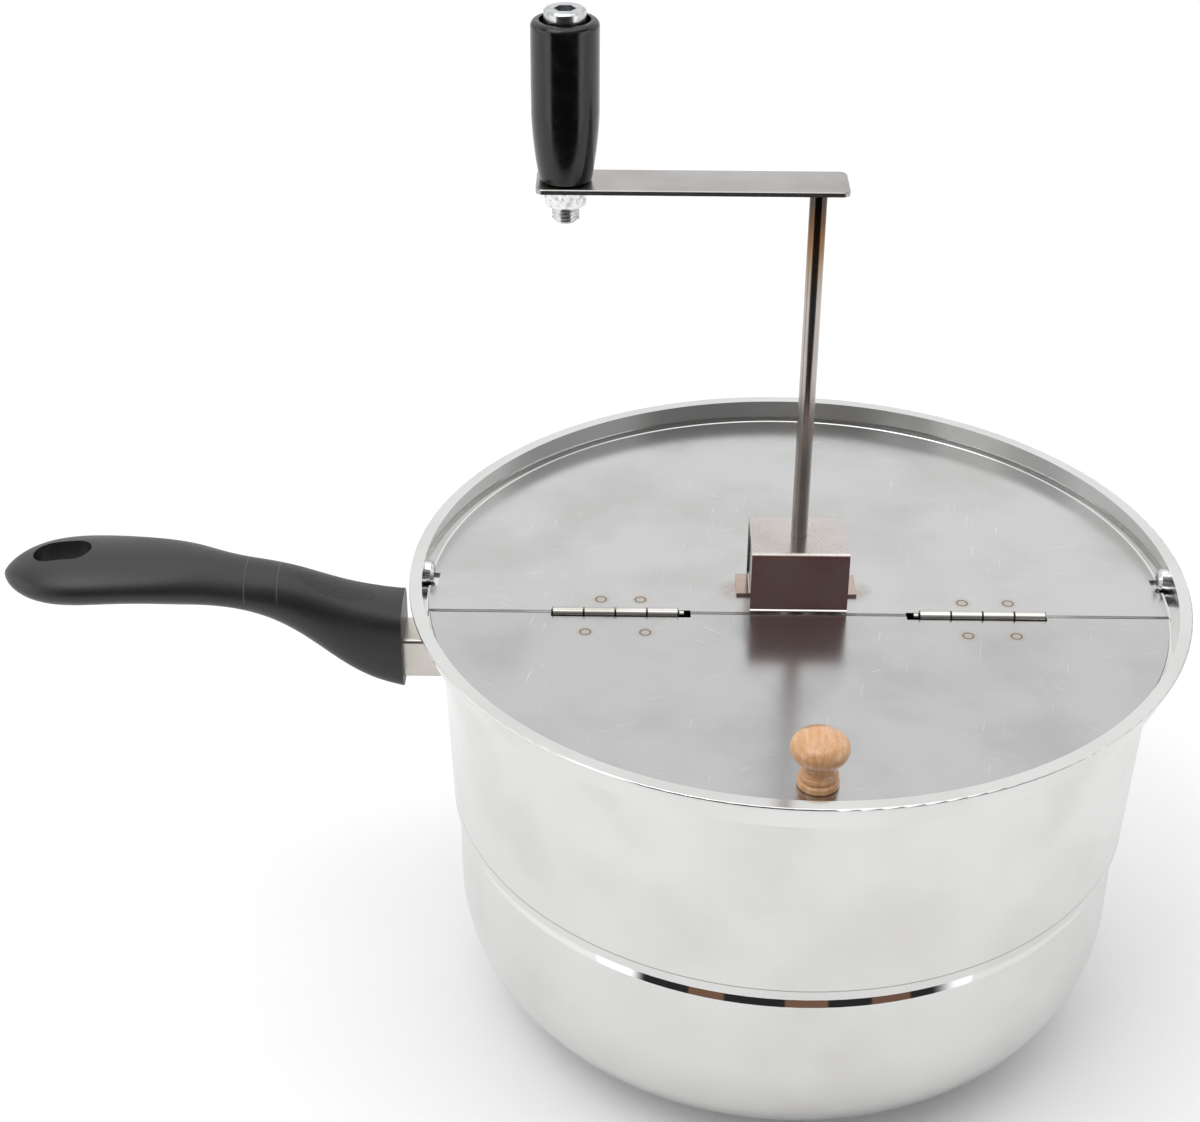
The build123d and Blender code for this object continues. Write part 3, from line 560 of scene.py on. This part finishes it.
@dataclass(frozen=True)
class Moulded:
    """Matte moulded plastic, finely textured, with the thumb patch and witness lines."""

    name: str = "handle_plastic"
    colour: str = "#222223"
    roughness: float = 0.4
    patch_middle: tuple[float, float] = (-160.2 * MM, -1.2 * MM)
    patch_half: tuple[float, float] = (14.0 * MM, 5.6 * MM)
    dot_pitch: float = 1.7 * MM
    seams: tuple[float, ...] = (-190.6 * MM, -179.5 * MM)

    def build(self) -> tuple[bpy.types.Material, bpy.types.Node, Paint]:
        """Makes the material."""
        material, shader = new_material(self.name)
        tree = material.node_tree
        paint = Paint(tree)
        wear = paint.noise(22 * MM, 4.0)
        colour = paint.mix(paint.ramp(wear, 0.35, 0.75), linear(self.colour), linear("#242425"))
        rough = paint.ramp(wear, 0.3, 0.75, self.roughness - 0.04, self.roughness + 0.06)
        tree.links.new(rough, shader.inputs["Roughness"])
        grain = paint.noise(0.45 * MM, 2.0)
        normal = paint.bump(grain, 0.07 * MM)
        dots = self._dots(paint)
        normal = paint.bump(dots, 0.3 * MM, 1.0, normal)
        # Painted shade: the dents are darkened towards near black.
        colour = paint.mix(paint.math("MULTIPLY", dots, 0.8), colour, linear("#0B0B0C"))
        for seam in self.seams:
            away = paint.math("ABSOLUTE", paint.math("SUBTRACT", paint.x, seam))
            above = paint.ramp(paint.z, 160.0 * MM, 163.0 * MM)
            line = paint.math("MULTIPLY", paint.ramp(away, 0.08 * MM, 0.3 * MM, 1.0, 0.0), above)
            normal = paint.bump(line, 0.12 * MM, 1.0, normal)
            colour = paint.mix(paint.math("MULTIPLY", line, 0.6), colour, linear("#5A5A5A"))
        tree.links.new(colour, shader.inputs["Base Color"])
        tree.links.new(normal, shader.inputs["Normal"])
        return material, shader, paint

    def _dots(self, paint: Paint) -> bpy.types.NodeSocket:
        """Draws small dents in rows inside an oval patch on the top.

        Args:
            paint: the helper on the material's tree.

        Returns:
            A socket with 1 in a dent and 0 outside.
        """
        middle_x, middle_y = self.patch_middle
        half_x, half_y = self.patch_half
        across = paint.math("DIVIDE", paint.math("SUBTRACT", paint.x, middle_x), half_x)
        along = paint.math("DIVIDE", paint.math("SUBTRACT", paint.y, middle_y), half_y)
        out = paint.math("ADD", paint.math("POWER", across, 2.0), paint.math("POWER", along, 2.0))
        upper = paint.ramp(paint.z, 155.0 * MM, 157.0 * MM)
        inside = paint.math("MULTIPLY", paint.ramp(out, 0.92, 1.0, 1.0, 0.0), upper)
        turn = 2 * math.pi / self.dot_pitch
        waves = [paint.math("SINE", paint.math("MULTIPLY", axis, turn)) for axis in (paint.x, paint.y)]
        dent = paint.ramp(paint.math("MULTIPLY", waves[0], waves[1]), 0.15, 0.6)
        return paint.math("MULTIPLY", dent, inside)


@dataclass(frozen=True)
class Gloss:
    """Glossy black thermoset for the crank's grip."""

    name: str = "grip_plastic"
    colour: str = "#0A0A0B"
    roughness: float = 0.13

    def build(self) -> tuple[bpy.types.Material, bpy.types.Node, Paint]:
        """Makes the material."""
        material, shader = new_material(self.name)
        tree = material.node_tree
        paint = Paint(tree)
        dust = paint.noise(5 * MM, 5.0)
        colour = paint.mix(paint.ramp(dust, 0.5, 0.8), linear(self.colour), linear("#19191A"))
        tree.links.new(colour, shader.inputs["Base Color"])
        rough = paint.ramp(dust, 0.3, 0.8, self.roughness, self.roughness + 0.12)
        tree.links.new(rough, shader.inputs["Roughness"])
        orange_peel = paint.noise(1.8 * MM, 2.0)
        tree.links.new(paint.bump(orange_peel, 0.01 * MM), shader.inputs["Normal"])
        return material, shader, paint


@dataclass(frozen=True)
class Beech:
    """Varnished beech: straight grain with short dark flecks."""

    name: str = "beech"
    light: str = "#DDB083"
    dark: str = "#CC9665"

    def build(self) -> tuple[bpy.types.Material, bpy.types.Node, Paint]:
        """Makes the material."""
        material, shader = new_material(self.name)
        tree = material.node_tree
        paint = Paint(tree)
        rings = paint.noise(1.6 * MM, 3.0, (1, 5, 5))
        flecks = paint.noise(0.42 * MM, 2.0, (1, 1, 4), offset=2.0)
        colour = paint.mix(paint.ramp(rings, 0.3, 0.7), linear(self.light), linear(self.dark))
        colour = paint.mix(paint.ramp(flecks, 0.52, 0.68, 0.0, 0.5), colour, linear("#A8703F"))
        tree.links.new(colour, shader.inputs["Base Color"])
        shader.inputs["Roughness"].default_value = 0.33
        shader.inputs["Coat Weight"].default_value = 0.6
        shader.inputs["Coat Roughness"].default_value = 0.12
        tree.links.new(paint.bump(flecks, 0.02 * MM), shader.inputs["Normal"])
        return material, shader, paint


def dress(node: str, material: bpy.types.Material) -> None:
    """Gives a CAD node a material.

    Args:
        node: the CAD node's name.
        material: the material for all its faces.
    """
    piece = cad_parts[node]
    slots = piece.material_slots
    if not slots:
        piece.data.materials.append(material)
    for entry in slots:
        entry.material = material
    log.info("dressed %s with %s", node, material.name)


def select_only(piece: bpy.types.Object) -> None:
    """Makes a piece the only selected and active object.

    Args:
        piece: the object.
    """
    bpy.ops.object.select_all(action="DESELECT")
    piece.select_set(True)
    bpy.context.view_layer.objects.active = piece


def finish_piece(
    piece: bpy.types.Object,
    name: str,
    body: str,
    material: bpy.types.Material,
) -> bpy.types.Object:
    """Names a new piece, hangs it on a body and gives it its slot and finish.

    Args:
        piece: the new mesh object, with its origin at the frame's origin.
        name: the piece's name.
        body: the body that it moves with.
        material: its material.

    Returns:
        The piece.
    """
    piece.name = name
    piece.data.materials.clear()
    piece.data.materials.append(material)
    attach(piece, body)
    log.info("made %s", name)
    return piece


@dataclass
class Ridge:
    """A thread's ridge round a plain shank, made as one helix."""

    middle: tuple[float, float]
    foot: float
    top: float
    radius: float
    pitch: float = 1.25 * MM
    width_share: float = 0.42
    sink_share: float = 0.12
    steps: int = 28

    def build(self) -> bpy.types.Object:
        """Makes the helix from a small three-sided profile.

        Returns:
            The new object.
        """
        bpy.ops.object.select_all(action="DESELECT")
        half_width = self.pitch * self.width_share
        bpy.ops.mesh.primitive_circle_add(vertices=3, radius=half_width, location=(0, 0, 0))
        ridge = bpy.context.object
        bpy.ops.object.mode_set(mode="EDIT")
        bpy.ops.mesh.select_all(action="SELECT")
        bpy.ops.transform.rotate(value=math.pi / 2, orient_axis="X", center_override=(0, 0, 0))
        bpy.ops.transform.rotate(value=math.pi / 2, orient_axis="Y", center_override=(0, 0, 0))
        out = self.radius - self.pitch * self.sink_share
        bpy.ops.transform.translate(value=(out, 0, self.foot))
        bpy.ops.object.mode_set(mode="OBJECT")
        turns = max(1, round((self.top - self.foot) / self.pitch))
        screw = ridge.modifiers.new("turns", "SCREW")
        screw.angle = 2 * math.pi
        screw.screw_offset = self.pitch
        screw.iterations = turns
        screw.steps = self.steps
        screw.render_steps = self.steps
        select_only(ridge)
        bpy.ops.object.modifier_apply(modifier="turns")
        bpy.ops.object.mode_set(mode="EDIT")
        bpy.ops.mesh.select_all(action="SELECT")
        bpy.ops.mesh.normals_make_consistent(inside=False)
        bpy.ops.transform.translate(value=(self.middle[0], self.middle[1], 0))
        bpy.ops.object.mode_set(mode="OBJECT")
        return ridge


@dataclass
class Bead:
    """A weld bead: a low ring of metal round a rod."""

    height: float
    radius: float
    thickness: float = 0.5 * MM

    def build(self) -> bpy.types.Object:
        """Makes the ring as a smooth-shaded torus.

        Returns:
            The new object.
        """
        bpy.ops.object.select_all(action="DESELECT")
        bpy.ops.mesh.primitive_torus_add(
            major_radius=self.radius,
            minor_radius=self.thickness,
            major_segments=40,
            minor_segments=10,
            location=(0, 0, 0),
        )
        bead = bpy.context.object
        bpy.ops.object.mode_set(mode="EDIT")
        bpy.ops.mesh.select_all(action="SELECT")
        bpy.ops.transform.translate(value=(0, 0, self.height))
        bpy.ops.object.mode_set(mode="OBJECT")
        select_only(bead)
        bpy.ops.object.shade_smooth()
        return bead


# ---------------------------------------------------------------- sub-assemblies
@dataclass
class Pot:
    """The deep pot and its fasteners."""

    steel: PotSteel = PotSteel("pot_steel", "#DCDCDB", "#D5D4D3", 0.25, Shape.ROUND, 0.0012, 0.05)

    def dress(self) -> None:
        """Gives the pot, the lid's screws, washers and nuts their finishes."""
        dress("pot_body", self.steel.build()[0])
        plated = Plated("screw_zinc").build()[0]
        for node in ("lid_screws", "lid_washers", "lid_nuts"):
            dress(node, plated)


@dataclass
class Lid:
    """The fixed lid, the flap, and the hinges under them."""

    rear_welds: tuple[tuple[float, float], ...] = (
        (-67.7, -6.3),
        (-54.1, -6.3),
        (57.0, -6.3),
        (72.8, -6.3),
    )
    front_welds: tuple[tuple[float, float], ...] = (
        (-72.8, -27.3),
        (-52.5, -27.3),
        (56.5, -27.3),
        (72.8, -27.3),
    )
    feet: tuple[tuple[float, float], ...] = ((-19.5, 0.5), (19.5, 0.5))

    def dress(self) -> None:
        """Gives the sheets and leaves their finishes."""
        rear = LidSteel(
            "rear_lid_steel",
            "#C9C9C9",
            "#BEBEBD",
            roughness=0.24,
            grain=Shape.ALONG_X,
            grain_depth=0.0008,
            mottle=0.05,
            welds=self.rear_welds,
            feet=self.feet,
            edge_line=-15.0 * MM,
        )
        front = LidSteel(
            "flap_steel",
            "#C0C0C0",
            "#B3B3B3",
            roughness=0.2,
            grain=Shape.ALONG_X,
            grain_depth=0.0008,
            mottle=0.06,
            welds=self.front_welds,
            edge_radius=127.6 * MM,
        )
        dress("rear_lid", rear.build()[0])
        dress("front_flap", front.build()[0])
        leaf = KnuckleSteel("leaf_steel", "#D3D0CC", "#B9B4AE", 0.12, Shape.ALONG_X, 0.0008, 0.05).build()[0]
        leaves = ("rear_leaf_left", "rear_leaf_right", "front_leaf_left", "front_leaf_right")
        for node in (*leaves, "hinge_pins"):
            dress(node, leaf)


@dataclass
class Knob:
    """The beech knob and its screw under the flap."""

    def dress(self) -> None:
        """Gives the knob and its fasteners their finishes."""
        dress("knob", Beech().build()[0])
        plated = Plated("knob_zinc").build()[0]
        dress("knob_screw", plated)
        dress("knob_washer", plated)


@dataclass
class Crank:
    """The shaft with its bracket, arm, grip and stirrer, and the two pieces made here."""

    weld_height: float = 311.0 * MM
    tint_reach: float = 40 * MM
    grip_middle: tuple[float, float] = (-79.5 * MM, 0.0)
    thread_foot: float = 299.6 * MM
    thread_top: float = 304.8 * MM
    bolt_radius: float = 4.0 * MM
    bead_height: float = 310.7 * MM
    bead_radius: float = 2.9 * MM

    def dress(self) -> None:
        """Gives every piece of the crank its finish."""
        box = BracketSteel("bracket_steel", "#CBC6C3", "#B8B2AD", 0.17, Shape.NONE, 0.004, 0.06)
        dress("shaft_bracket", box.build()[0])
        shaft = TintedSteel(
            "shaft_steel",
            "#B7AFAA",
            "#A39A94",
            roughness=0.15,
            grain=Shape.UPRIGHT,
            grain_depth=0.0006,
            mottle=0.05,
            weld_height=self.weld_height,
            reach=self.tint_reach,
        )
        dress("crank_shaft", shaft.build()[0])
        arm = Steel("arm_steel", "#B4B2B0", "#A19D9A", 0.26, Shape.ALONG_X, 0.001, 0.07)
        dress("crank_arm", arm.build()[0])
        bolt = Plated("bolt_zinc", "#CDCFD2", 0.2)
        dress("grip_bolt", bolt.build()[0])
        nut = Plated("nut_zinc", "#D9DADC", 0.22).build()[0]
        for node in ("grip_nut", "shaft_collar", "collar_screw", "stirrer_screw"):
            dress(node, nut)
        dress("crank_grip", Gloss().build()[0])
        ridge = Ridge(self.grip_middle, self.thread_foot, self.thread_top, self.bolt_radius)
        thread = ridge.build()
        finish_piece(thread, "bolt_thread", "crank", nut)
        bead = Bead(self.bead_height, self.bead_radius).build()
        finish_piece(bead, "arm_weld", "crank", shaft.build()[0])
        blades = Steel("blade_steel", "#BDBBB8", "#A29F9A", 0.3, Shape.ALONG_X).build()[0]
        for node in ("stirrer_hub", "blade_left", "blade_right"):
            dress(node, blades)


@dataclass
class Handle:
    """The moulded handle on its welded bracket."""

    def dress(self) -> None:
        """Gives the handle, its bracket and its screw their finishes."""
        dress("handle_grip", Moulded().build()[0])
        tube = Steel("handle_bracket_steel", "#C9C4BE", "#A9A39C", 0.22, Shape.ALONG_X)
        dress("handle_bracket", tube.build()[0])
        dress("handle_screw", Plated("handle_screw_zinc").build()[0])


# ---------------------------------------------------------------- studio
@dataclass
class Softbox:
    """One area light, aimed at a point."""

    name: str
    place: tuple[float, float, float]
    size: tuple[float, float]
    power: float
    aim: tuple[float, float, float] = (0.0, 0.0, 0.12)

    def build(self) -> None:
        """Adds the light."""
        data = bpy.data.lights.new(self.name, "AREA")
        data.shape = "RECTANGLE"
        data.size, data.size_y = self.size
        data.energy = self.power
        lamp = bpy.data.objects.new(self.name, data)
        bpy.context.scene.collection.objects.link(lamp)
        lamp.location = self.place
        lamp.rotation_euler = (Vector(self.aim) - lamp.location).to_track_quat("-Z", "Y").to_euler()


@dataclass(frozen=True)
class Panel:
    """A patch of the surroundings, by compass angle and height angle in degrees."""

    middle: float
    half_width: float
    low: float
    high: float
    colour: tuple[float, float, float]
    soft: float = 2.0


@dataclass
class Studio:
    """White table, dark room with soft boxes around it, and the photograph's camera."""

    lens: float = 66.95
    place: tuple[float, float, float] = (-0.0605, -0.6597, 0.5728)
    azimuth: float = -5.24
    elevation: float = 31.36
    pan: float = -5.05
    tilt: float = 0.0
    roll: float = 0.26
    floor: str = "#F7F7F7"
    floor_front: float = -0.4
    floor_reach: float = 6.0
    overhead: float = 1.75
    behind: float = 1.05
    horizon: float = 0.8
    room: float = 0.03
    room_wall: float = 0.32
    rear_angles: tuple[float, float] = (88.0, 112.0)
    horizon_heights: tuple[float, float] = (2.0, 26.0)
    room_heights: tuple[float, float] = (8.0, 32.0)
    top_heights: tuple[float, float] = (48.0, 64.0)
    panels: tuple[Panel, ...] = (
        Panel(-76, 26, -35, 22, (1.7, 1.7, 1.7), 6.0),
        Panel(72, 19, -35, 18, (1.6, 1.6, 1.6), 10.0),
        Panel(-25, 5, -9, 5, (0.22, 0.12, 0.08), 0.8),
        Panel(5, 6, -9, 4, (0.24, 0.135, 0.09), 0.8),
        Panel(30.5, 5.5, -10, 5, (0.21, 0.115, 0.08), 0.8),
    )

    def build(self) -> None:
        """Adds the floor, the world, the lights and the camera."""
        bpy.context.scene.view_settings.view_transform = "Standard"
        self._floor()
        self._world()
        Softbox("key", (-0.9, -0.7, 1.7), (1.2, 1.2), 9).build()
        self._camera()

    def _floor(self) -> None:
        """Adds a wide plane at the pot's base, whose front edge lies between pot and camera."""
        bpy.ops.object.select_all(action="DESELECT")
        middle = (self.floor_reach + self.floor_front) / 2
        bpy.ops.mesh.primitive_plane_add(size=1, location=(0, middle, 0))
        floor = bpy.context.object
        floor.name = "floor"
        floor.scale = (2 * self.floor_reach, self.floor_reach - self.floor_front, 1)
        material, shader = new_material("floor_paper")
        shader.inputs["Base Color"].default_value = linear(self.floor)
        shader.inputs["Roughness"].default_value = 0.8
        shader.inputs["Specular IOR Level"].default_value = 0.2
        floor.data.materials.append(material)

    def _world(self) -> None:
        """Adds the surroundings: white overhead and behind, dark towards the camera, with panels."""
        world = bpy.data.worlds.new("studio")
        world.use_nodes = True
        tree = world.node_tree
        paint = Paint(tree, "Generated")
        height = paint.math("MULTIPLY", paint.math("ARCSINE", paint.z), 180 / math.pi)
        compass = paint.math("ARCTAN2", paint.x, paint.math("MULTIPLY", paint.y, -1.0))
        compass = paint.math("MULTIPLY", compass, 180 / math.pi)
        rear = paint.ramp(paint.math("ABSOLUTE", compass), *self.rear_angles)
        low = paint.ramp(height, *self.horizon_heights, self.horizon, self.behind)
        dark = paint.ramp(height, *self.room_heights, self.room, self.room_wall)
        front = paint.math("MULTIPLY", dark, paint.math("SUBTRACT", 1.0, rear))
        side = paint.math("ADD", paint.math("MULTIPLY", rear, low), front)
        top = paint.ramp(height, *self.top_heights)
        below = paint.math("MULTIPLY", side, paint.math("SUBTRACT", 1.0, top))
        level = paint.math("ADD", below, paint.math("MULTIPLY", top, self.overhead))
        colour = add_node(tree, "ShaderNodeCombineColor", {0: level, 1: level, 2: level}).outputs[0]
        for panel in self.panels:
            left = panel.middle - panel.half_width
            right = panel.middle + panel.half_width
            across = paint.between(compass, left, right, panel.soft)
            upright = paint.between(height, panel.low, panel.high, panel.soft)
            colour = paint.mix(paint.math("MULTIPLY", across, upright), colour, (*panel.colour, 1.0))
        background = tree.nodes["Background"]
        tree.links.new(colour, background.inputs[0])
        background.inputs[1].default_value = 1.0
        bpy.context.scene.world = world

    def _camera(self) -> None:
        """Adds the camera solved from the photograph, with the lens a little shorter."""
        az, el = math.radians(self.azimuth), math.radians(self.elevation)
        forward = -Vector((math.sin(az) * math.cos(el), -math.cos(az) * math.cos(el), math.sin(el)))
        right = forward.cross(Vector((0, 0, 1))).normalized()
        up = right.cross(forward)
        pan, tilt = math.radians(self.pan), math.radians(self.tilt)
        forward = (
            forward * (math.cos(pan) * math.cos(tilt))
            + right * (math.sin(pan) * math.cos(tilt))
            + up * math.sin(tilt)
        )
        right = forward.cross(Vector((0, 0, 1))).normalized()
        up = right.cross(forward)
        roll = math.radians(self.roll)
        side = right * math.cos(roll) + up * math.sin(roll)
        top = up * math.cos(roll) - right * math.sin(roll)
        data = bpy.data.cameras.new("photo_camera")
        data.lens = self.lens
        data.sensor_width = 36.0
        data.sensor_fit = "HORIZONTAL"
        data.clip_end = 50.0
        camera = bpy.data.objects.new("photo_camera", data)
        bpy.context.scene.collection.objects.link(camera)
        turn = Matrix((side, top, -forward)).transposed().to_4x4()
        camera.matrix_world = Matrix.Translation(Vector(self.place)) @ turn
        bpy.context.scene.camera = camera


def main() -> None:
    """Dresses every sub-assembly, then adds the studio."""
    logging.basicConfig(level=logging.INFO)
    for part in (Pot(), Lid(), Knob(), Crank(), Handle()):
        part.dress()
    Studio().build()


if __name__ == "__main__":
    main()
